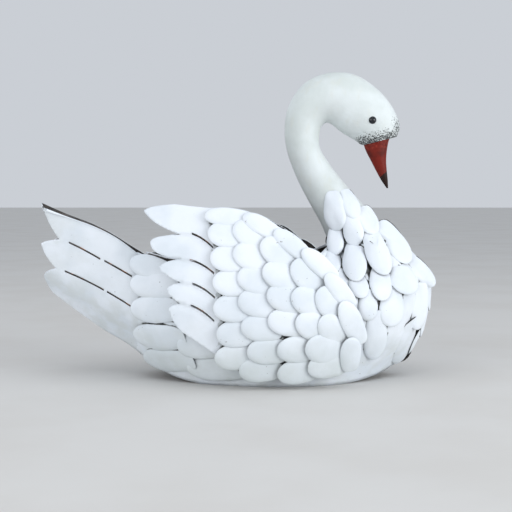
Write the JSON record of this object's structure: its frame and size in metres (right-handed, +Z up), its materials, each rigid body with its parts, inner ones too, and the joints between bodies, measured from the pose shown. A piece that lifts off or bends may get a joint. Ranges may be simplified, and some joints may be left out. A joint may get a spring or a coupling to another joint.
{
  "type": "sheet-metal garden swan planter",
  "caption": "White-painted sheet-metal swan for the garden, open-backed like a planter, with layered oval feather plates, slotted wings and tail, a curved neck and a red bill.",
  "frame": {"origin": "on the floor, under the middle of the swan's length and width", "axes": "+X where the swan faces, +Y its left side, +Z up"},
  "size_m": [0.5018, 0.2652, 0.3771],
  "materials": {
    "white_paint": "matt to satin white paint, slightly worn, grime along the plate edges",
    "red_paint": "satin dark red paint, dark brown towards the tip",
    "black_bead": "glossy black",
    "bare_steel": "dull, unpainted"
  },
  "bodies": {
    "root": {"trunk_right": "white_paint", "trunk_left": "white_paint", "bottom_pan": "white_paint", "tail_right": "white_paint", "tail_left": "white_paint", "wing_right": "white_paint", "wing_left": "white_paint", "neck": "white_paint", "head": "white_paint", "bill": "red_paint", "eye_right": "black_bead", "eye_left": "black_bead", "wing_strap_right_1": "bare_steel", "wing_strap_right_2": "bare_steel", "wing_strap_left_1": "bare_steel", "wing_strap_left_2": "bare_steel"}
  },
  "joints": []
}
